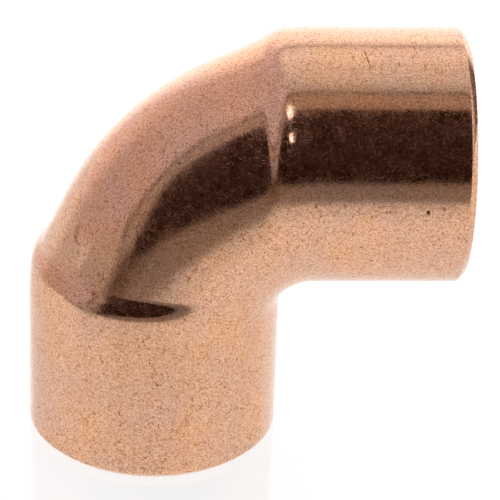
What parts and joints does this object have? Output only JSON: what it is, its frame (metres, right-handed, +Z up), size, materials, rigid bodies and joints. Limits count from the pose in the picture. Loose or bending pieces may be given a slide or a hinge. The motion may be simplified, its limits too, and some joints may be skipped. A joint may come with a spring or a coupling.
{
  "type": "copper pipe elbow",
  "caption": "90 degree wrought copper solder elbow with two equal tube sockets, formed in one piece.",
  "frame": {"origin": "centre of the lower socket's mouth, in the plane of its rim, so the part stands on z = 0", "axes": "+Z up the lower socket's axis into the fitting, +X along the upper socket's axis out of its mouth, +Y to complete a right-handed frame, across the plane of symmetry"},
  "size_m": [0.0302, 0.0178, 0.0302],
  "materials": {
    "copper": "bright drawn copper with fine tumbling scratches, uncoated"
  },
  "bodies": {
    "root": {"elbow_body": "copper"}
  },
  "joints": []
}
